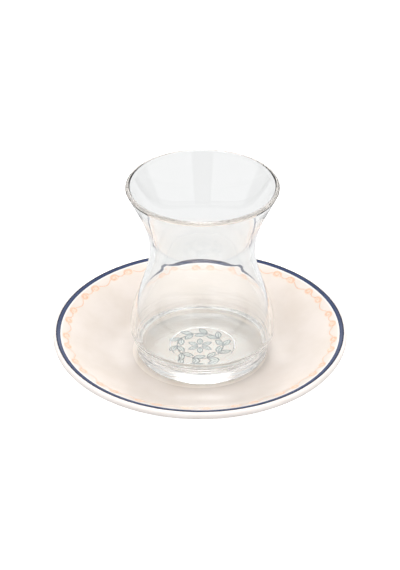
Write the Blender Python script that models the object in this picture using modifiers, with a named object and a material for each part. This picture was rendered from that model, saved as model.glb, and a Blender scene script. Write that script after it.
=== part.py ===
"""Tea glass on its saucer: a slim-waisted clear glass standing in the well of a shallow glazed saucer.

Both pieces are turned solids. The origin is on the saucer's axis, in the plane that it stands on.
Sizes are in metres and +Z is up.
"""

import math

import bpy

COLLECTION_NAME = "tea_glass_and_saucer"

# Saucer
SAUCER_RADIUS = 0.0603
WELL_RADIUS = 0.0290
WELL_HEIGHT = 0.00655
WELL_THICKNESS = 0.0038
RIM_RISE = 0.01145
RIM_SLOPE = 0.65
LIP_THICKNESS = 0.0032
FOOT_RING_OUTER = 0.0338
FOOT_RING_INNER = 0.0306
FOOT_RING_EDGE = 0.0005
FOOT_RING_DRAFT = 0.0006

# Glass, with heights measured from its own base
GLASS_HEIGHT = 0.0773
GLASS_OFF_CENTRE = 0.0010
GLASS_CLEARANCE = 0.0003
RIM_RADIUS = 0.0303
RIM_FLARE = 0.466
RIM_WALL = 0.0020
WAIST_RADIUS = 0.02125
WAIST_BOTTOM = 0.04735
WAIST_TOP = 0.05005
WAIST_WALL = 0.0022
BELLY_RADIUS = 0.02945
BELLY_HEIGHT = 0.01265
BELLY_WALL = 0.0018
TUCK_RADIUS = 0.0270
TUCK_HEIGHT = 0.0048
TUCK_TAPER = 0.39
HEEL_RADIUS = 0.0271
HEEL_ROUNDING = 0.0024
CAVITY_FLOOR = 0.0035
CAVITY_TURN = 0.0128
CAVITY_FULLNESS = 4.0
PUNT_RADIUS = 0.0137
PUNT_SLOPE = 0.0005
PUNT_DEPTH = 0.0005

# Facets
SEGMENTS = 56
MERGE_DISTANCE = 0.00001


def remove_scene_objects():
    """Empties the scene that the script runs in."""
    for thing in list(bpy.data.objects):
        bpy.data.objects.remove(thing, do_unlink=True)


def bend(t, end_slope=0.0):
    """A curve from 0 to 1 that starts level and arrives at the given slope."""
    return t * t * (3 - 2 * t) + end_slope * (t ** 3 - t ** 2)


def bend_slope(t, end_slope=0.0):
    """The slope of that curve."""
    return 6 * t * (1 - t) + end_slope * (3 * t ** 2 - 2 * t)


def arc(radius, height, rounding, start, end, steps):
    """Points of a round stretch about (radius, height); angles in degrees, 0 outwards and 90 up."""
    angles = [math.radians(start + (end - start) * i / steps) for i in range(steps + 1)]
    return [(radius + rounding * math.cos(a), height + rounding * math.sin(a)) for a in angles]


def saucer_top(radius):
    """Height and slope angle of the saucer's upper surface at a radius."""
    if radius <= WELL_RADIUS:
        return WELL_HEIGHT, 0.0
    span = SAUCER_RADIUS - WELL_RADIUS
    t = (radius - WELL_RADIUS) / span
    height = WELL_HEIGHT + RIM_RISE * bend(t, RIM_SLOPE)
    return height, math.atan(RIM_RISE / span * bend_slope(t, RIM_SLOPE))


def saucer_outline():
    """The saucer's half section, from the middle of the well over the lip to the foot ring."""
    steps_up, steps_lip, steps_under = 12, 8, 8
    half_lip = LIP_THICKNESS / 2
    lip_centre = SAUCER_RADIUS - half_lip
    lip_slope = saucer_top(lip_centre)[1]
    lip_start = lip_centre - half_lip * math.sin(lip_slope)

    outline = [(0.0, WELL_HEIGHT)]
    for i in range(steps_up):
        radius = WELL_RADIUS + (lip_start - WELL_RADIUS) * i / steps_up
        outline.append((radius, saucer_top(radius)[0]))

    height, slope = saucer_top(lip_start)
    turn = math.degrees(slope)
    lip_height = height - half_lip * math.cos(slope)
    outline += arc(lip_centre, lip_height, half_lip, 90 + turn, -90 + turn, steps_lip)

    under_end = FOOT_RING_OUTER - LIP_THICKNESS * math.sin(saucer_top(FOOT_RING_OUTER)[1])
    for i in range(1, steps_under + 1):
        t = i / steps_under
        radius = lip_start + (under_end - lip_start) * t
        wall = LIP_THICKNESS + (WELL_THICKNESS - LIP_THICKNESS) * t
        height, slope = saucer_top(radius)
        outline.append((radius + wall * math.sin(slope), height - wall * math.cos(slope)))

    edge = FOOT_RING_EDGE
    outer, inner = FOOT_RING_OUTER - FOOT_RING_DRAFT, FOOT_RING_INNER + FOOT_RING_DRAFT
    outline += arc(outer - edge, edge, edge, 0, -90, 3)
    outline += arc(inner + edge, edge, edge, -90, -180, 3)
    outline.append((FOOT_RING_INNER, WELL_HEIGHT - WELL_THICKNESS))
    outline.append((0.0, WELL_HEIGHT - WELL_THICKNESS))
    return outline


def glass_wall(height):
    """Outer radius and wall thickness of the glass from its belly up to its rim."""
    if height <= WAIST_BOTTOM:
        t = (height - BELLY_HEIGHT) / (WAIST_BOTTOM - BELLY_HEIGHT)
        return (BELLY_RADIUS + (WAIST_RADIUS - BELLY_RADIUS) * bend(t),
                BELLY_WALL + (WAIST_WALL - BELLY_WALL) * bend(t))
    if height <= WAIST_TOP:
        return WAIST_RADIUS, WAIST_WALL
    span = GLASS_HEIGHT - RIM_WALL / 2 - WAIST_TOP
    t = (height - WAIST_TOP) / span
    widening = RIM_RADIUS - WAIST_RADIUS
    return (WAIST_RADIUS + widening * bend(t, RIM_FLARE * span / widening),
            WAIST_WALL + (RIM_WALL - WAIST_WALL) * bend(t))


def glass_outline():
    """The glass's half section, from the middle of its cavity over the rim and down to its base."""
    steps_floor, steps_belly, steps_flare, steps_lip, steps_tuck, steps_heel = 9, 7, 6, 4, 3, 4
    lip = RIM_WALL / 2
    wall_top = GLASS_HEIGHT - lip
    belly = [CAVITY_TURN + (WAIST_BOTTOM - CAVITY_TURN) * i / steps_belly for i in range(steps_belly + 1)]
    flare = [WAIST_TOP + (wall_top - WAIST_TOP) * i / steps_flare for i in range(steps_flare)]

    turn_radius, turn_wall = glass_wall(CAVITY_TURN)
    power = 2 / CAVITY_FULLNESS
    outline = []
    for i in range(steps_floor):
        angle = math.pi / 2 * i / steps_floor
        outline.append(((turn_radius - turn_wall) * math.sin(angle) ** power,
                        CAVITY_TURN - (CAVITY_TURN - CAVITY_FLOOR) * math.cos(angle) ** power))
    for height in belly + flare:
        radius, wall = glass_wall(height)
        outline.append((radius - wall, height))

    outline += arc(glass_wall(wall_top)[0] - lip, wall_top, lip, 180, 0, steps_lip)
    for height in reversed(belly[1:] + flare):
        outline.append((glass_wall(height)[0], height))

    drop, narrowing = BELLY_HEIGHT - TUCK_HEIGHT, BELLY_RADIUS - TUCK_RADIUS
    for i in range(steps_tuck + 1):
        t = i / steps_tuck
        inwards = narrowing * bend(t, TUCK_TAPER * drop / narrowing)
        outline.append((BELLY_RADIUS - inwards, BELLY_HEIGHT - drop * t))
    outline += arc(HEEL_RADIUS - HEEL_ROUNDING, HEEL_ROUNDING, HEEL_ROUNDING, 12, -90, steps_heel)

    outline.append((PUNT_RADIUS, 0.0))
    outline.append((PUNT_RADIUS - PUNT_SLOPE, PUNT_DEPTH))
    outline.append((0.0, PUNT_DEPTH))
    return outline


def turned_solid(name, outline, place, material, collection):
    """Turns a half section about the upright axis into one closed solid."""
    mesh = bpy.data.meshes.new(name)
    points = [(radius, 0.0, height) for radius, height in outline]
    mesh.from_pydata(points, [(i, i + 1) for i in range(len(points) - 1)], [])
    mesh.materials.append(material)

    solid = bpy.data.objects.new(name, mesh)
    solid.location = place
    collection.objects.link(solid)

    screw = solid.modifiers.new("turn", "SCREW")
    screw.axis = "Z"
    screw.angle = math.tau
    screw.steps = SEGMENTS
    screw.render_steps = SEGMENTS
    screw.use_merge_vertices = True
    screw.merge_threshold = MERGE_DISTANCE
    screw.use_smooth_shade = True

    return solid


def clear_glass():
    """Pressed soda-lime glass, colourless."""
    material = bpy.data.materials.new("clear_soda_lime_glass")
    material.use_nodes = True
    shader = material.node_tree.nodes["Principled BSDF"]
    shader.inputs["Base Color"].default_value = (0.97, 0.98, 0.98, 1.0)
    shader.inputs["Roughness"].default_value = 0.02
    shader.inputs["Metallic"].default_value = 0.0
    shader.inputs["Transmission Weight"].default_value = 1.0
    shader.inputs["IOR"].default_value = 1.51
    return material


def cream_porcelain():
    """Glazed porcelain, cream."""
    material = bpy.data.materials.new("cream_glazed_porcelain")
    material.use_nodes = True
    shader = material.node_tree.nodes["Principled BSDF"]
    shader.inputs["Base Color"].default_value = (0.91, 0.84, 0.76, 1.0)
    shader.inputs["Roughness"].default_value = 0.18
    shader.inputs["Metallic"].default_value = 0.0
    return material


def main():
    """Builds the saucer and the glass that stands in its well."""
    remove_scene_objects()
    collection = bpy.data.collections.new(COLLECTION_NAME)
    bpy.context.scene.collection.children.link(collection)

    turned_solid("saucer", saucer_outline(), (0.0, 0.0, 0.0), cream_porcelain(), collection)
    glass_place = (GLASS_OFF_CENTRE, 0.0, WELL_HEIGHT + GLASS_CLEARANCE)
    turned_solid("tea_glass", glass_outline(), glass_place, clear_glass(), collection)


main()
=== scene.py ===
"""Looks of an empty tea glass on its saucer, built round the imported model.

The glass and the saucer are turned again from the same sizes with finer steps, and the glass gets faint
rings below its belly. The rim line is a zone of the saucer's own faces. The scroll border and the wreath
are thin prints that lie on the glaze.
"""

from __future__ import annotations

import logging
import math
from dataclasses import dataclass, field
from enum import Enum
from typing import Iterable, Sequence

import bmesh
import bpy
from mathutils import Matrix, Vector

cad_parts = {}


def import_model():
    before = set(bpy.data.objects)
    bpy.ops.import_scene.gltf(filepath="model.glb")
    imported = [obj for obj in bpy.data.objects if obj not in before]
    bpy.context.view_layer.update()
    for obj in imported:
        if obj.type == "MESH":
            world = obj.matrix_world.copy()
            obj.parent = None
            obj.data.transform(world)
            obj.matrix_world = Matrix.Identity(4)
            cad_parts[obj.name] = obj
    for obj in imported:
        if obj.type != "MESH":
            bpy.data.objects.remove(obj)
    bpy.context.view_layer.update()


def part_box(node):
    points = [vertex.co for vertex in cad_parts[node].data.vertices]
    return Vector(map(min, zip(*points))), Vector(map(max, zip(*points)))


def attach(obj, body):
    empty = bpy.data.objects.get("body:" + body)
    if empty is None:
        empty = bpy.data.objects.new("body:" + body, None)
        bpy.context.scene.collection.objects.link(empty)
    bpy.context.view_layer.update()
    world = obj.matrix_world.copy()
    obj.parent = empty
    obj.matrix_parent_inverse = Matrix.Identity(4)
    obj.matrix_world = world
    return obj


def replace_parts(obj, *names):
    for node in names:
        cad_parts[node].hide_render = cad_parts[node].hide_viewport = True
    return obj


LOG = logging.getLogger("tea_glass")

MM = 0.001
BODY = "root"
WELD_DISTANCE = 0.0005 * MM
WASH_LIFT = 0.012 * MM
LINE_LIFT = 0.024 * MM
Point = tuple[float, float]
Level = float | bpy.types.NodeSocket


def linear_rgb(code: str) -> tuple[float, float, float, float]:
    """Turns an sRGB hex colour to linear.

    Args:
        code: six hex digits after a hash.

    Returns:
        Red, green, blue and a full alpha.
    """
    parts = [int(code[i:i + 2], 16) / 255 for i in (1, 3, 5)]
    red, green, blue = (p / 12.92 if p <= 0.04045 else ((p + 0.055) / 1.055) ** 2.4 for p in parts)
    return red, green, blue, 1.0


def add_node(tree: bpy.types.NodeTree, kind: str, settings: dict[str, object] | None = None,
             links: dict[str, bpy.types.NodeSocket] | None = None) -> bpy.types.Node:
    """Adds a node with its settings and links.

    Args:
        tree: the node tree that it goes into.
        kind: the node's type.
        settings: values for its properties or, by name, for its input sockets.
        links: output sockets to join to its inputs, by the input's name.

    Returns:
        The new node.
    """
    node = tree.nodes.new(kind)
    for name, value in (settings or {}).items():
        if name in node.inputs:
            node.inputs[name].default_value = value
        else:
            setattr(node, name, value)
    for name, source in (links or {}).items():
        tree.links.new(source, node.inputs[name])
    return node


def new_material(name: str) -> tuple[bpy.types.Material, bpy.types.NodeTree, bpy.types.Node]:
    """Makes an empty node material with its output and one Principled shader.

    Args:
        name: the finish's plain name.

    Returns:
        The material, its node tree and the shader.
    """
    material = bpy.data.materials.new(name)
    material.use_nodes = True
    tree = material.node_tree
    tree.nodes.clear()
    shader = add_node(tree, "ShaderNodeBsdfPrincipled")
    add_node(tree, "ShaderNodeOutputMaterial", links={"Surface": shader.outputs[0]})
    return material, tree, shader


def bend(t: float, end_slope: float = 0.0) -> float:
    """A curve from 0 to 1 that starts level and arrives at the given slope."""
    return t * t * (3 - 2 * t) + end_slope * (t ** 3 - t ** 2)


def bend_slope(t: float, end_slope: float = 0.0) -> float:
    """The slope of that curve."""
    return 6 * t * (1 - t) + end_slope * (3 * t ** 2 - 2 * t)


def arc(centre: Point, rounding: float, start: float, end: float, steps: int) -> list[Point]:
    """Points of a round stretch of an outline.

    Args:
        centre: radius and height of its centre.
        rounding: its radius.
        start: first angle in degrees, 0 outwards and 90 up.
        end: last angle in degrees.
        steps: number of chords.

    Returns:
        Radius and height of each point.
    """
    angles = [math.radians(start + (end - start) * i / steps) for i in range(steps + 1)]
    return [(centre[0] + rounding * math.cos(a), centre[1] + rounding * math.sin(a)) for a in angles]


def turned(outline: Sequence[Point], centre: Vector, steps: int) -> bmesh.types.BMesh:
    """Spins a half section about an upright axis into a closed surface.

    Args:
        outline: radius and height of each point, both ends on the axis.
        centre: a point on the axis.
        steps: number of facets round.

    Returns:
        The surface, with its faces pointing out.
    """
    bm = bmesh.new()
    verts = [bm.verts.new((centre.x + radius, centre.y, height)) for radius, height in outline]
    edges = [bm.edges.new(pair) for pair in zip(verts, verts[1:])]
    bmesh.ops.spin(bm, geom=verts + edges, cent=centre, axis=(0, 0, 1), angle=math.tau, steps=steps,
                   use_merge=True, use_duplicate=False)
    bmesh.ops.remove_doubles(bm, verts=bm.verts, dist=WELD_DISTANCE)
    bmesh.ops.recalc_face_normals(bm, faces=bm.faces)
    return bm


def finished_piece(name: str, bm: bmesh.types.BMesh, materials: Iterable[bpy.types.Material],
                   crisp_angle: float = 40.0) -> bpy.types.Object:
    """Makes an object of a bmesh and lets it ride on the body.

    Args:
        name: the piece's name.
        bm: its shape, which is freed.
        materials: its materials in slot order.
        crisp_angle: edges sharper than this many degrees are drawn crisp.

    Returns:
        The new object.
    """
    mesh = bpy.data.meshes.new(name)
    bm.to_mesh(mesh)
    bm.free()
    mesh.shade_smooth()
    mesh.set_sharp_from_angle(angle=math.radians(crisp_angle))
    for material in materials:
        mesh.materials.append(material)
    piece = bpy.data.objects.new(name, mesh)
    bpy.context.scene.collection.objects.link(piece)
    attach(piece, BODY)
    return piece


@dataclass(frozen=True)
class ClearGlass:
    """Soda-lime glass, pressed and fire-polished: clear, smooth and slightly wavy to look through.

    It turns faintly grey where the light goes a long way inside it, as in the lip.
    """

    name: str = "clear_soda_lime_glass"
    tint: str = "#fdfefe"
    ior: float = 1.51
    roughness: float = 0.0
    body_tint: str = "#d3d7d6"
    body_density: float = 1.0
    wave_length: float = 9.0 * MM
    wave_depth: float = 0.004 * MM
    wave_detail: float = 1.0

    def material(self) -> bpy.types.Material:
        """Builds the glass material."""
        material, tree, shader = new_material(self.name)
        shader.inputs["Base Color"].default_value = linear_rgb(self.tint)
        shader.inputs["Transmission Weight"].default_value = 1.0
        shader.inputs["IOR"].default_value = self.ior
        shader.inputs["Roughness"].default_value = self.roughness
        body = add_node(tree, "ShaderNodeVolumeAbsorption",
                        {"Color": linear_rgb(self.body_tint), "Density": self.body_density})
        tree.links.new(body.outputs["Volume"], tree.nodes["Material Output"].inputs["Volume"])
        place = add_node(tree, "ShaderNodeTexCoord")
        waves = add_node(tree, "ShaderNodeTexNoise",
                         {"Scale": 1 / self.wave_length, "Detail": self.wave_detail},
                         {"Vector": place.outputs["Object"]})
        bump = add_node(tree, "ShaderNodeBump", {"Strength": 1.0, "Distance": self.wave_depth},
                        {"Height": waves.outputs["Fac"]})
        tree.links.new(bump.outputs["Normal"], shader.inputs["Normal"])
        return material


@dataclass(frozen=True)
class GlazedPorcelain:
    """Porcelain under a poured clear glaze: glossy, slightly uneven in tone, with a soft ripple."""

    name: str
    colour: str
    thin_colour: str
    gloss: float = 0.5
    ior: float = 1.5
    roughness: float = 0.16
    thin_until: float = 0.35
    full_from: float = 0.65
    mottle_size: float = 14.0 * MM
    mottle_detail: float = 3.0
    mottle_roughness: float = 0.55
    ripple_size: float = 3.5 * MM
    ripple_detail: float = 2.0
    ripple_depth: float = 0.004 * MM

    def material(self) -> bpy.types.Material:
        """Builds the porcelain material."""
        material, tree, shader = new_material(self.name)
        shader.inputs["Roughness"].default_value = self.roughness
        shader.inputs["IOR"].default_value = self.ior
        shader.inputs["Specular IOR Level"].default_value = self.gloss
        place = add_node(tree, "ShaderNodeTexCoord")
        mottle = add_node(tree, "ShaderNodeTexNoise",
                          {"Scale": 1 / self.mottle_size, "Detail": self.mottle_detail,
                           "Roughness": self.mottle_roughness}, {"Vector": place.outputs["Object"]})
        tone = add_node(tree, "ShaderNodeValToRGB", links={"Fac": mottle.outputs["Fac"]})
        tone.color_ramp.elements[0].position = self.thin_until
        tone.color_ramp.elements[0].color = linear_rgb(self.thin_colour)
        tone.color_ramp.elements[1].position = self.full_from
        tone.color_ramp.elements[1].color = linear_rgb(self.colour)
        ripple = add_node(tree, "ShaderNodeTexNoise",
                          {"Scale": 1 / self.ripple_size, "Detail": self.ripple_detail},
                          {"Vector": place.outputs["Object"]})
        bump = add_node(tree, "ShaderNodeBump", {"Strength": 1.0, "Distance": self.ripple_depth},
                        {"Height": ripple.outputs["Fac"]})
        tree.links.new(tone.outputs["Color"], shader.inputs["Base Color"])
        tree.links.new(bump.outputs["Normal"], shader.inputs["Normal"])
        return material


@dataclass(frozen=True)
class OverglazePrint:
    """Ceramic transfer ink fired on the glaze: thin, half glossy, and paler in small patches."""

    name: str
    colour: str
    thin_colour: str
    roughness: float = 0.3
    grain: float = 0.6 * MM
    grain_detail: float = 2.0
    thin_until: float = 0.38
    full_from: float = 0.62

    def material(self) -> bpy.types.Material:
        """Builds the ink material."""
        material, tree, shader = new_material(self.name)
        shader.inputs["Roughness"].default_value = self.roughness
        place = add_node(tree, "ShaderNodeTexCoord")
        patches = add_node(tree, "ShaderNodeTexNoise",
                           {"Scale": 1 / self.grain, "Detail": self.grain_detail},
                           {"Vector": place.outputs["Object"]})
        tone = add_node(tree, "ShaderNodeValToRGB", links={"Fac": patches.outputs["Fac"]})
        tone.color_ramp.elements[0].position = self.thin_until
        tone.color_ramp.elements[0].color = linear_rgb(self.thin_colour)
        tone.color_ramp.elements[1].position = self.full_from
        tone.color_ramp.elements[1].color = linear_rgb(self.colour)
        tree.links.new(tone.outputs["Color"], shader.inputs["Base Color"])
        return material


class Zone(Enum):
    """The saucer's zones, in the order of its material slots.

    LINE is the even navy of the rim line, and LINE_EDGE its darker outer part, where the glaze pools. The
    well's zone is a paler cream: painted light against the glass's shade.
    """

    CREAM = 0
    PAINTED_LIGHT_WELL = 1
    WHITE = 2
    LINE = 3
    LINE_EDGE = 4


@dataclass
class TeaGlass:
    """The slim-waisted glass, turned about its own axis. Heights are measured from its base."""

    centre: Vector
    base: float
    height: float
    rim_radius: float
    rim_flare: float = 0.466
    rim_wall: float = 2.0 * MM
    waist_radius: float = 21.25 * MM
    waist_bottom: float = 47.35 * MM
    waist_top: float = 50.05 * MM
    waist_wall: float = 2.2 * MM
    belly_radius: float = 29.45 * MM
    belly_height: float = 12.65 * MM
    belly_wall: float = 1.8 * MM
    tuck_radius: float = 27.0 * MM
    tuck_height: float = 4.8 * MM
    tuck_taper: float = 0.39
    heel_radius: float = 27.1 * MM
    heel_rounding: float = 2.4 * MM
    heel_start: float = 12.0
    cavity_floor: float = 3.5 * MM
    cavity_turn: float = 12.8 * MM
    cavity_fullness: float = 4.0
    punt_radius: float = 13.7 * MM
    punt_slope: float = 0.5 * MM
    punt_depth: float = 0.5 * MM
    ripple_depth: float = 0.1 * MM
    ripple_length: float = 2.3 * MM
    ripple_onset: float = 8.0
    ripple_fade: float = 4.0
    floor_steps: int = 60
    belly_steps: int = 30
    flare_steps: int = 26
    lip_steps: int = 16
    tuck_steps: int = 28
    heel_steps: int = 14
    facets: int = 192
    finish: ClearGlass = field(default_factory=ClearGlass)

    @classmethod
    def from_frame(cls) -> TeaGlass:
        """Reads the glass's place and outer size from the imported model."""
        low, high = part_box("tea_glass")
        middle = (low + high) / 2
        return cls(centre=Vector((middle.x, middle.y, 0.0)), base=low.z, height=high.z - low.z,
                   rim_radius=(high.x - low.x) / 2)

    def wall(self, height: float) -> Point:
        """Outer radius and wall thickness between the belly and the rim."""
        if height <= self.waist_bottom:
            t = (height - self.belly_height) / (self.waist_bottom - self.belly_height)
            return (self.belly_radius + (self.waist_radius - self.belly_radius) * bend(t),
                    self.belly_wall + (self.waist_wall - self.belly_wall) * bend(t))
        if height <= self.waist_top:
            return self.waist_radius, self.waist_wall
        span = self.height - self.rim_wall / 2 - self.waist_top
        t = (height - self.waist_top) / span
        widening = self.rim_radius - self.waist_radius
        return (self.waist_radius + widening * bend(t, self.rim_flare * span / widening),
                self.waist_wall + (self.rim_wall - self.waist_wall) * bend(t))

    def cavity(self) -> list[Point]:
        """The bowl-shaped bottom of the cavity, from its middle out to the side wall."""
        radius, wall = self.wall(self.cavity_turn)
        depth = self.cavity_turn - self.cavity_floor
        power = 2 / self.cavity_fullness
        points = []
        for i in range(self.floor_steps):
            angle = math.pi / 2 * i / self.floor_steps
            drop = depth * math.cos(angle) ** power
            side = math.sin(angle) ** power
            rings = self.ripple(drop) * side ** self.ripple_onset
            points.append(((radius - wall) * side + rings, self.cavity_turn - drop))
        return points

    def outline(self) -> list[Point]:
        """The half section, from the middle of the cavity over the rim and down to the base."""
        lip = self.rim_wall / 2
        wall_top = self.height - lip
        sides = self.spaced(self.cavity_turn, self.waist_bottom, self.belly_steps)
        sides += self.spaced(self.waist_top, wall_top, self.flare_steps)[:-1]
        points = self.cavity()
        points += [(self.wall(h)[0] - self.wall(h)[1], h) for h in sides]
        points += arc((self.wall(wall_top)[0] - lip, wall_top), lip, 180, 0, self.lip_steps)
        points += [(self.wall(h)[0], h) for h in reversed(sides[1:])]
        drop, narrowing = self.belly_height - self.tuck_height, self.belly_radius - self.tuck_radius
        for t in self.spaced(0.0, 1.0, self.tuck_steps):
            rings = self.ripple(t * drop) * min(1.0, self.ripple_fade * (1 - t))
            inwards = narrowing * bend(t, self.tuck_taper * drop / narrowing) - rings
            points.append((self.belly_radius - inwards, self.belly_height - drop * t))
        heel = (self.heel_radius - self.heel_rounding, self.heel_rounding)
        points += arc(heel, self.heel_rounding, self.heel_start, -90, self.heel_steps)
        points += [(self.punt_radius, 0.0), (self.punt_radius - self.punt_slope, self.punt_depth),
                   (0.0, self.punt_depth)]
        return [(radius, self.base + height) for radius, height in points]

    def ripple(self, drop: float) -> float:
        """How far the mould's faint rings move the surface, by the distance below the belly."""
        return -self.ripple_depth * math.sin(math.tau * drop / self.ripple_length)

    @staticmethod
    def spaced(start: float, end: float, steps: int) -> list[float]:
        """Evenly spaced numbers, both ends included."""
        return [start + (end - start) * i / steps for i in range(steps + 1)]

    def build(self) -> bpy.types.Object:
        """Turns the glass and stands it in for its node."""
        bm = turned(self.outline(), self.centre, self.facets)
        piece = finished_piece("clear_tea_glass", bm, [self.finish.material()])
        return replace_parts(piece, "tea_glass")


@dataclass
class Saucer:
    """The shallow saucer, turned about the origin's upright axis.

    Its cream glaze looks warm and softly lit. The well, out to just past the glass's foot, is painted a
    little paler: painted light that evens out the shade the glass casts there. The lip and underside are
    white.
    """

    radius: float
    well_radius: float = 29.0 * MM
    well_height: float = 6.55 * MM
    well_thickness: float = 3.8 * MM
    rim_rise: float = 11.45 * MM
    rim_slope: float = 0.65
    lip_thickness: float = 3.2 * MM
    foot_outer: float = 33.8 * MM
    foot_inner: float = 30.6 * MM
    foot_edge: float = 0.5 * MM
    foot_draft: float = 0.6 * MM
    cream_edge: float = 56.5 * MM
    line_inner: float = 57.15 * MM
    line_edge: float = 58.3 * MM
    line_outer_angle: float = 79.0
    # Edge of the well's paler cream, painted light that offsets the glass's shade round its foot.
    painted_light_edge: float = 27.8 * MM
    facets: int = 240
    top_steps: tuple[int, ...] = (5, 1, 44, 2, 4)
    lip_top_steps: int = 6
    lip_side_steps: int = 15
    under_steps: int = 30
    foot_steps: int = 6
    cream: GlazedPorcelain = GlazedPorcelain("cream_glazed_porcelain", "#e5dbd3", "#dfd4ca", 0.28)
    # The well's paler cream is painted light, not a different glaze: it evens out the shade under and round
    # the glass.
    well: GlazedPorcelain = GlazedPorcelain("cream_well_with_painted_light", "#fff5ea", "#fdf0e2", 0.28)
    white: GlazedPorcelain = GlazedPorcelain("white_glazed_porcelain", "#efe8e4", "#eae2dd")
    line: GlazedPorcelain = GlazedPorcelain("navy_underglaze_line", "#36415f", "#404b69", 0.15)
    line_rim: GlazedPorcelain = GlazedPorcelain("pooled_navy_underglaze_edge", "#141f3b", "#1b2643", 0.15)

    @classmethod
    def from_frame(cls) -> Saucer:
        """Reads the saucer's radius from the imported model."""
        low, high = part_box("saucer")
        return cls(radius=(high.x - low.x) / 2)

    def top(self, radius: float) -> Point:
        """Height and slope angle of the upper surface at a radius."""
        if radius <= self.well_radius:
            return self.well_height, 0.0
        span = self.radius - self.well_radius
        t = (radius - self.well_radius) / span
        return (self.well_height + self.rim_rise * bend(t, self.rim_slope),
                math.atan(self.rim_rise / span * bend_slope(t, self.rim_slope)))

    def outline(self) -> list[Point]:
        """The half section, from the middle of the well over the lip to the foot ring."""
        half_lip = self.lip_thickness / 2
        lip_centre = self.radius - half_lip
        lip_start = lip_centre - half_lip * math.sin(self.top(lip_centre)[1])
        stops = (0.0, self.painted_light_edge, self.well_radius, self.cream_edge, self.line_inner, lip_start)
        radii = []
        for start, end, steps in zip(stops, stops[1:], self.top_steps):
            radii += [start + (end - start) * i / steps for i in range(steps)]
        points = [(radius, self.top(radius)[0]) for radius in radii]

        height, slope = self.top(lip_start)
        turn = math.degrees(slope)
        middle = (lip_centre, height - half_lip * math.cos(slope))
        points += arc(middle, half_lip, 90 + turn, self.line_outer_angle, self.lip_top_steps)[:-1]
        points += arc(middle, half_lip, self.line_outer_angle, -90 + turn, self.lip_side_steps)

        under_end = self.foot_outer - self.lip_thickness * math.sin(self.top(self.foot_outer)[1])
        for i in range(1, self.under_steps + 1):
            t = i / self.under_steps
            radius = lip_start + (under_end - lip_start) * t
            wall = self.lip_thickness + (self.well_thickness - self.lip_thickness) * t
            height, slope = self.top(radius)
            points.append((radius + wall * math.sin(slope), height - wall * math.cos(slope)))

        edge = self.foot_edge
        points += arc((self.foot_outer - self.foot_draft - edge, edge), edge, 0, -90, self.foot_steps)
        points += arc((self.foot_inner + self.foot_draft + edge, edge), edge, -90, -180, self.foot_steps)
        under_well = self.well_height - self.well_thickness
        points += [(self.foot_inner, under_well), (0.0, under_well)]
        return points

    def line_outer(self) -> float:
        """Radius of the rim line's outer edge, on the round of the lip."""
        half_lip = self.lip_thickness / 2
        return self.radius - half_lip + half_lip * math.cos(math.radians(self.line_outer_angle))

    def zone(self, centre: Vector, normal: Vector) -> Zone:
        """The zone that a face of the saucer belongs to, by its middle and its direction."""
        radius = math.hypot(centre.x, centre.y)
        if normal.z > 0 and radius < self.cream_edge:
            # Faces inside the edge get the well's paler cream, painted light against the glass's shade.
            return Zone.PAINTED_LIGHT_WELL if radius < self.painted_light_edge else Zone.CREAM
        if normal.z > 0 and self.line_inner < radius < self.line_outer():
            return Zone.LINE_EDGE if radius > self.line_edge else Zone.LINE
        return Zone.WHITE

    def build(self) -> bpy.types.Object:
        """Turns the saucer, marks its zones and stands it in for its node."""
        bm = turned(self.outline(), Vector((0, 0, 0)), self.facets)
        for face in bm.faces:
            face.material_index = self.zone(face.calc_center_median(), face.normal).value
        finishes = (self.cream, self.well, self.white, self.line, self.line_rim)
        piece = finished_piece("glazed_saucer", bm, [finish.material() for finish in finishes])
        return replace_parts(piece, "saucer")


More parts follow.
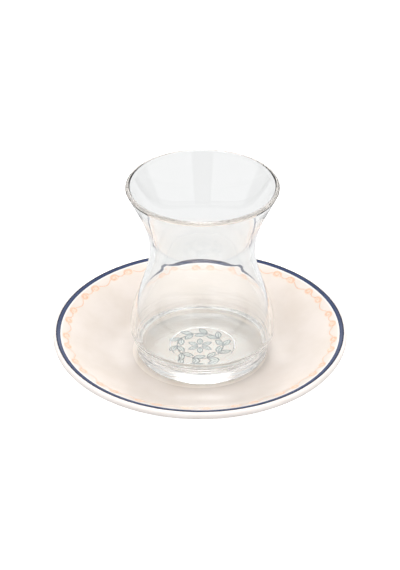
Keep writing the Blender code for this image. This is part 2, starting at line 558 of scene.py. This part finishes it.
class GlazePrint:
    """A flat print laid on the saucer's glaze, built from strokes and small filled patches."""

    def __init__(self, saucer: Saucer, lift: float) -> None:
        """Starts an empty print.

        Args:
            saucer: the saucer that it lies on.
            lift: its height above the glaze.
        """
        self.saucer = saucer
        self.lift = lift
        self.bm = bmesh.new()

    def at(self, spot: Vector) -> Vector:
        """The point of the glaze over or under a spot of the plan."""
        return Vector((spot.x, spot.y, self.saucer.top(math.hypot(spot.x, spot.y))[0] + self.lift))

    def stroke(self, path: Sequence[Vector], widths: Sequence[float]) -> None:
        """Pulls an edge along a path.

        Args:
            path: points of the plan.
            widths: the stroke's width at each of them.
        """
        last = len(path) - 1
        edge, sides = None, []
        for i, (spot, width) in enumerate(zip(path, widths)):
            ahead = (path[min(i + 1, last)] - path[max(i - 1, 0)]).normalized()
            across = Vector((-ahead.y, ahead.x)) * width / 2
            places = [self.at(spot - across), self.at(spot + across)]
            if edge is None:
                sides = [self.bm.verts.new(place) for place in places]
                edge = self.bm.edges.new(sides)
                continue
            pulled = bmesh.ops.extrude_edge_only(self.bm, edges=[edge])["geom"]
            edge = next(part for part in pulled if isinstance(part, bmesh.types.BMEdge))
            ends = [part for part in pulled if isinstance(part, bmesh.types.BMVert)]
            ends.sort(key=lambda vert: (vert.co - sides[0].co).length)
            for vert, place in zip(ends, places):
                vert.co = place
            sides = ends

    def patch(self, middle: Vector, along: Vector, half_length: float, half_width: float, point: float = 1.0,
              steps: int = 14) -> None:
        """Lays a filled oval or leaf.

        Args:
            middle: its middle in the plan.
            along: the direction of its length.
            half_length: half its length.
            half_width: half its width.
            point: 1 for an oval, more for a pointed leaf.
            steps: number of corners.
        """
        along = along.normalized()
        across = Vector((-along.y, along.x))
        disc = bmesh.ops.create_circle(self.bm, cap_ends=True, segments=steps, radius=1.0)
        for vert in disc["verts"]:
            narrow = max(0.0, 1 - vert.co.x ** 2) ** ((point - 1) / 2)
            aside = across * vert.co.y * narrow * half_width
            vert.co = self.at(middle + along * vert.co.x * half_length + aside)

    def finish(self, name: str, material: bpy.types.Material) -> bpy.types.Object:
        """Turns every face up and makes the print's object."""
        bmesh.ops.recalc_face_normals(self.bm, faces=self.bm.faces)
        self.bm.normal_update()
        bmesh.ops.reverse_faces(self.bm, faces=[face for face in self.bm.faces if face.normal.z < 0])
        return finished_piece(name, self.bm, [material])


@dataclass
class ScrollBorder:
    """Peach scrolls in mirrored pairs just inside the rim line, joined by thin arcs."""

    saucer: Saucer
    pairs: int = 18
    first_azimuth: float = 8.5
    half_spread: float = 4.0
    radius: float = 54.6 * MM
    curl_length: float = 2.2 * MM
    curl_depth: float = 1.55 * MM
    curl_start: float = 200.0
    curl_turn: float = 430.0
    curl_end: float = 0.3
    curl_tightening: float = 0.8
    heavy: float = 1.0 * MM
    light: float = 0.4 * MM
    swell_start: float = 0.15
    swell_rate: float = 0.9
    link_bulge: float = 1.5 * MM
    inner_link_share: float = 0.4
    steps: int = 26
    stroke_ink: OverglazePrint = OverglazePrint("peach_overglaze_scrolls", "#deb295", "#e4c3aa")
    wash_ink: OverglazePrint = OverglazePrint("pale_peach_overglaze_wash", "#e6cbb8", "#e3d2c3")

    def spot(self, azimuth: float, sideways: float, outwards: float) -> Vector:
        """A point of the plan, given beside a place on the border's middle circle."""
        angle = math.radians(azimuth) + sideways / self.radius
        return Vector((math.cos(angle), math.sin(angle))) * (self.radius + outwards)

    def curl(self, azimuth: float, hand: int) -> list[Vector]:
        """One C-shaped curl that winds up inwards.

        Args:
            azimuth: its middle in degrees.
            hand: 1 or -1 for the way that it faces.

        Returns:
            Points of the plan.
        """
        path = []
        for i in range(self.steps + 1):
            t = i / self.steps
            angle = math.radians(self.curl_start - self.curl_turn * t)
            size = 1 - (1 - self.curl_end) * t ** self.curl_tightening
            path.append(self.spot(azimuth, hand * self.curl_length * size * math.cos(angle),
                                  self.curl_depth * size * math.sin(angle)))
        return path

    def link(self, start: float, end: float, bulge: float) -> list[Vector]:
        """A thin arc between two azimuths that bulges inwards."""
        steps = self.steps // 2
        return [self.spot(start + (end - start) * i / steps, 0.0, -bulge * math.sin(math.pi * i / steps))
                for i in range(steps + 1)]

    def build(self) -> list[bpy.types.Object]:
        """Lays the wash first and the strokes over it."""
        wash, ink = GlazePrint(self.saucer, WASH_LIFT), GlazePrint(self.saucer, LINE_LIFT)
        pitch = 360 / self.pairs
        stages = [min(1.0, self.swell_start + self.swell_rate * i / self.steps)
                  for i in range(self.steps + 1)]
        swell = [self.light + (self.heavy - self.light) * math.sin(math.pi * stage) for stage in stages]
        thin = [self.light] * (self.steps // 2 + 1)
        for k in range(self.pairs):
            middle = self.first_azimuth + pitch * k
            for hand in (-1, 1):
                azimuth = middle + hand * self.half_spread
                ink.stroke(self.curl(azimuth, hand), swell)
                here = self.spot(azimuth, 0.0, 0.0)
                wash.patch(here, Vector((-here.y, here.x)), self.curl_length, self.curl_depth)
            inner = self.half_spread - math.degrees(self.curl_length / self.radius)
            outer = self.half_spread + math.degrees(self.curl_length / self.radius)
            bulge = self.link_bulge * self.inner_link_share
            ink.stroke(self.link(middle - inner, middle + inner, bulge), thin)
            ink.stroke(self.link(middle + outer, middle + pitch - outer, self.link_bulge), thin)
        return [wash.finish("scroll_border_wash", self.wash_ink.material()),
                ink.finish("scroll_border_strokes", self.stroke_ink.material())]


@dataclass
class LeafWreath:
    """A plain wreath of small leaves round a simple flower, in the middle of the well."""

    saucer: Saucer
    leaves: int = 10
    radius: float = 9.6 * MM
    leaf_length: float = 5.4 * MM
    leaf_width: float = 2.5 * MM
    leaf_lean: float = 34.0
    leaf_point: float = 1.6
    leaf_steps: int = 10
    vein_share: float = 0.7
    vein_tip: float = 0.5
    petals: int = 6
    petal_length: float = 4.6 * MM
    petal_width: float = 2.2 * MM
    flower_eye: float = 0.9 * MM
    ring_steps: int = 72
    line_width: float = 0.42 * MM
    line_ink: OverglazePrint = OverglazePrint("grey_green_overglaze_line", "#3f4945", "#4f5955")
    wash_ink: OverglazePrint = OverglazePrint("pale_grey_overglaze_wash", "#d8dcd4", "#e4e4da")

    def leaf(self, ink: GlazePrint, wash: GlazePrint, foot: Vector, along: Vector, length: float,
             width: float) -> None:
        """Draws one leaf with a pale filling.

        Args:
            ink: the line print.
            wash: the filling print.
            foot: where it starts in the plan.
            along: its direction.
            length: its length.
            width: its width.
        """
        along = along.normalized()
        across = Vector((-along.y, along.x))
        steps = self.leaf_steps
        for side in (-1, 1):
            path = [foot + along * length * i / steps
                    + across * side * width / 2 * math.sin(math.pi * i / steps) for i in range(steps + 1)]
            ink.stroke(path, [self.line_width] * (steps + 1))
        vein = [foot, foot + along * length * self.vein_share]
        ink.stroke(vein, [self.line_width, self.line_width * self.vein_tip])
        wash.patch(foot + along * length / 2, along, length / 2, width / 2, self.leaf_point)

    def build(self) -> list[bpy.types.Object]:
        """Lays the fillings first and the lines over them."""
        wash, ink = GlazePrint(self.saucer, WASH_LIFT), GlazePrint(self.saucer, LINE_LIFT)
        turns = [math.tau * i / self.ring_steps for i in range(self.ring_steps + 1)]
        ring = [Vector((math.cos(a), math.sin(a))) * self.radius for a in turns]
        ink.stroke(ring, [self.line_width] * len(ring))
        lean = math.radians(self.leaf_lean)
        for k in range(self.leaves):
            angle = math.tau * k / self.leaves
            out = Vector((math.cos(angle), math.sin(angle)))
            ahead = Vector((-out.y, out.x))
            for side in (-1, 1):
                self.leaf(ink, wash, out * self.radius, ahead * math.cos(lean) + out * side * math.sin(lean),
                          self.leaf_length, self.leaf_width)
        for k in range(self.petals):
            angle = math.tau * (k + 0.5) / self.petals
            out = Vector((math.cos(angle), math.sin(angle)))
            self.leaf(ink, wash, out * self.flower_eye, out, self.petal_length, self.petal_width)
        return [wash.finish("wreath_wash", self.wash_ink.material()),
                ink.finish("wreath_lines", self.line_ink.material())]


@dataclass(frozen=True)
class Surround:
    """How bright the studio is in each direction, as levels where 1 is paper white.

    The angles are degrees round from the front, or degrees up for the window's and the top's edges.
    """

    gap: float = 0.4
    panels: float = 1.0
    sides: float = 0.35
    back: float = 0.8
    back_window: float = 2.5
    top: float = 0.8
    overhead: float = 5.5
    gap_half_angle: float = 17.0
    panel_end: float = 95.0
    back_start: float = 140.0
    window_start: float = 21.0
    window_end: float = 44.0
    window_half_angle: float = 18.0
    top_start: float = 46.5
    overhead_start: float = 68.0
    softness: float = 5.0
    top_softness: float = 12.0


@dataclass
class Studio:
    """White floor in a soft tent with a gap for the camera, and the camera at the photograph's angle."""

    pitch: float = 32.15
    lens: float = 110.9
    sensor: float = 36.0
    distance: float = 709.7 * MM
    aim_height: float = 37.8 * MM
    clip_start: float = 10.0 * MM
    floor_size: float = 6.0
    floor_colour: str = "#cecece"
    beyond_colour: str = "#3a3a3a"
    table_radius: float = 0.7
    table_fade: float = 0.1
    floor_roughness: float = 0.9
    surround: Surround = Surround()
    light_bounces: int = 40

    def build(self) -> None:
        """Makes the floor, the tent and the camera."""
        self.floor()
        self.tent()
        self.camera()

    def floor(self) -> None:
        """A plain pale floor, burnt out to white where the camera sees it directly, and dark far away."""
        bm = bmesh.new()
        bmesh.ops.create_grid(bm, x_segments=8, y_segments=8, size=self.floor_size / 2)
        mesh = bpy.data.meshes.new("white_floor")
        bm.to_mesh(mesh)
        bm.free()
        material, tree, shader = new_material("matt_white_acrylic_floor")
        place = add_node(tree, "ShaderNodeTexCoord")
        reach = add_node(tree, "ShaderNodeVectorMath", {"operation": "LENGTH"})
        tree.links.new(place.outputs["Object"], reach.inputs[0])
        tone = add_node(tree, "ShaderNodeValToRGB", links={"Fac": reach.outputs["Value"]})
        tone.color_ramp.elements[0].position = self.table_radius * (1 - self.table_fade)
        tone.color_ramp.elements[0].color = linear_rgb(self.floor_colour)
        tone.color_ramp.elements[1].position = self.table_radius * (1 + self.table_fade)
        tone.color_ramp.elements[1].color = linear_rgb(self.beyond_colour)
        tree.links.new(tone.outputs["Color"], shader.inputs["Base Color"])
        shader.inputs["Roughness"].default_value = self.floor_roughness
        shader.inputs["Specular IOR Level"].default_value = 0.0
        shader.inputs["Emission Color"].default_value = linear_rgb("#ffffff")
        ray = add_node(tree, "ShaderNodeLightPath")
        tree.links.new(ray.outputs["Is Camera Ray"], shader.inputs["Emission Strength"])
        mesh.materials.append(material)
        floor = bpy.data.objects.new("white_floor", mesh)
        bpy.context.scene.collection.objects.link(floor)

    def tent(self) -> None:
        """The tent: panels beside a darker gap in front, a window behind and a soft light overhead."""
        levels = self.surround
        world = bpy.data.worlds.new("studio_tent")
        world.use_nodes = True
        tree = world.node_tree
        tree.nodes.clear()
        place = add_node(tree, "ShaderNodeTexCoord")
        way = add_node(tree, "ShaderNodeSeparateXYZ", links={"Vector": place.outputs["Generated"]})
        towards = add_node(tree, "ShaderNodeMath", {"operation": "MULTIPLY"})
        towards.inputs[1].default_value = -1.0
        tree.links.new(way.outputs["Y"], towards.inputs[0])
        azimuth = add_node(tree, "ShaderNodeMath", {"operation": "ARCTAN2"})
        tree.links.new(way.outputs["X"], azimuth.inputs[0])
        tree.links.new(towards.outputs[0], azimuth.inputs[1])
        turn = add_node(tree, "ShaderNodeMath", {"operation": "ABSOLUTE"})
        tree.links.new(azimuth.outputs[0], turn.inputs[0])

        rise = add_node(tree, "ShaderNodeMath", {"operation": "ARCSINE"})
        tree.links.new(way.outputs["Z"], rise.inputs[0])
        around, up = turn.outputs[0], rise.outputs[0]

        behind = self.blend(tree, up, levels.window_start, levels.back, levels.back_window)
        behind = self.blend(tree, up, levels.window_end, behind, levels.back)
        behind = self.blend(tree, around, 180 - levels.window_half_angle, levels.back, behind)
        level = self.blend(tree, around, levels.gap_half_angle, levels.gap, levels.panels)
        level = self.blend(tree, around, levels.panel_end, level, levels.sides)
        level = self.blend(tree, around, levels.back_start, level, behind)
        level = self.blend(tree, up, levels.top_start, level, levels.top, levels.top_softness)
        level = self.blend(tree, up, levels.overhead_start, level, levels.overhead, levels.top_softness)

        glow = add_node(tree, "ShaderNodeBackground", {"Color": linear_rgb("#ffffff")}, {"Strength": level})
        add_node(tree, "ShaderNodeOutputWorld", links={"Surface": glow.outputs[0]})
        bpy.context.scene.world = world

    def blend(self, tree: bpy.types.NodeTree, angle: bpy.types.NodeSocket, at: float, before: Level,
              after: Level, width: float | None = None) -> bpy.types.NodeSocket:
        """Changes softly from one level to another at an angle.

        Args:
            tree: the world's node tree.
            angle: the angle in radians.
            at: the middle of the change in degrees.
            before: the level below it.
            after: the level above it.
            width: the change's width in degrees, or None for the surround's softness.

        Returns:
            The level.
        """
        half = (width or self.surround.softness) / 2
        share = add_node(tree, "ShaderNodeMapRange",
                         {"interpolation_type": "SMOOTHSTEP", "From Min": math.radians(at - half),
                          "From Max": math.radians(at + half)}, {"Value": angle})
        ends = {"A": before, "B": after}
        linked = {name: end for name, end in ends.items() if isinstance(end, bpy.types.NodeSocket)}
        fixed = {name: end for name, end in ends.items() if name not in linked}
        mix = add_node(tree, "ShaderNodeMix", {"data_type": "FLOAT", **fixed},
                       {"Factor": share.outputs["Result"], **linked})
        return mix.outputs["Result"]

    def camera(self) -> None:
        """The camera, looking down at the photograph's pitch, and the light's bounces through the glass."""
        data = bpy.data.cameras.new("camera")
        data.sensor_fit = "AUTO"
        data.sensor_width = self.sensor
        data.lens = self.lens
        data.clip_start = self.clip_start
        camera = bpy.data.objects.new("camera", data)
        pitch = math.radians(self.pitch)
        camera.location = (0.0, -self.distance * math.cos(pitch),
                           self.aim_height + self.distance * math.sin(pitch))
        camera.rotation_euler = (math.pi / 2 - pitch, 0.0, 0.0)
        scene = bpy.context.scene
        scene.collection.objects.link(camera)
        scene.camera = camera
        scene.view_settings.view_transform = "Standard"
        scene.cycles.max_bounces = self.light_bounces
        scene.cycles.transmission_bounces = self.light_bounces
        scene.cycles.glossy_bounces = self.light_bounces


def main() -> None:
    """Builds every piece in order, logs their face counts and builds the studio."""
    logging.basicConfig(level=logging.INFO, format="%(name)s: %(message)s")
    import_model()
    saucer = Saucer.from_frame()
    pieces = [TeaGlass.from_frame().build(), saucer.build()]
    pieces += ScrollBorder(saucer).build() + LeafWreath(saucer).build()
    for piece in pieces:
        LOG.info("%s: %d faces", piece.name, len(piece.data.polygons))
    Studio().build()


if __name__ == "__main__":
    main()
